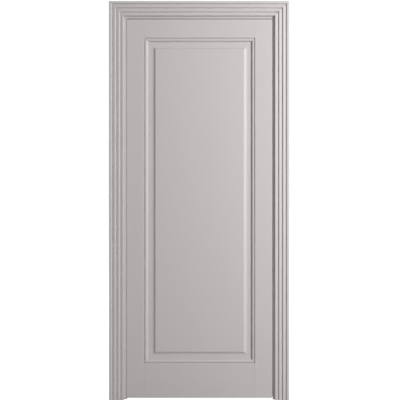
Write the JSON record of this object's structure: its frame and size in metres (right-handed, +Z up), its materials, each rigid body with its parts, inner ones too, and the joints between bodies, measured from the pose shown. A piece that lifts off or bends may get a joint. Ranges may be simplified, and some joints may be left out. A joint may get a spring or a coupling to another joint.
{
  "type": "interior door set",
  "caption": "Painted timber interior door: leaf with one raised and fielded panel, swinging in a lining with stops and mitred stepped casings on both faces.",
  "frame": {"origin": "floor level, middle of the doorway's width, in the plane of the lining's front edge, which is the front face of the wall", "axes": "+Z up; -Y towards the side that the leaf opens to, which is the side in the picture; +X to the right as seen from there"},
  "size_m": [0.936, 0.1476, 2.0775],
  "materials": {
    "painted_timber": "satin warm grey paint over primed timber",
    "hinge_steel": "satin nickel plate"
  },
  "bodies": {
    "frame": {"lining_left": "painted_timber", "lining_right": "painted_timber", "lining_head": "painted_timber", "stop_left": "painted_timber", "stop_right": "painted_timber", "stop_head": "painted_timber", "casing_front_left": "painted_timber", "casing_front_right": "painted_timber", "casing_front_head": "painted_timber", "casing_rear_left": "painted_timber", "casing_rear_right": "painted_timber", "casing_rear_head": "painted_timber", "hinge_bottom_lining_half": "hinge_steel", "hinge_middle_lining_half": "hinge_steel", "hinge_top_lining_half": "hinge_steel"},
    "leaf": {"stile_hinge_side": "painted_timber", "stile_closing_side": "painted_timber", "rail_top": "painted_timber", "rail_bottom": "painted_timber", "panel": "painted_timber", "panel_moulding_front_left": "painted_timber", "panel_moulding_front_right": "painted_timber", "panel_moulding_front_top": "painted_timber", "panel_moulding_front_bottom": "painted_timber", "panel_moulding_rear_left": "painted_timber", "panel_moulding_rear_right": "painted_timber", "panel_moulding_rear_top": "painted_timber", "panel_moulding_rear_bottom": "painted_timber", "hinge_bottom_leaf_half": "hinge_steel", "hinge_middle_leaf_half": "hinge_steel", "hinge_top_leaf_half": "hinge_steel"}
  },
  "joints": [
    {"name": "leaf_swing", "type": "hinge", "parent": "frame", "child": "leaf", "pos_m": [-0.382, 0, 1], "axis": [0, 0, -1], "range_deg": [0, 110]}
  ]
}
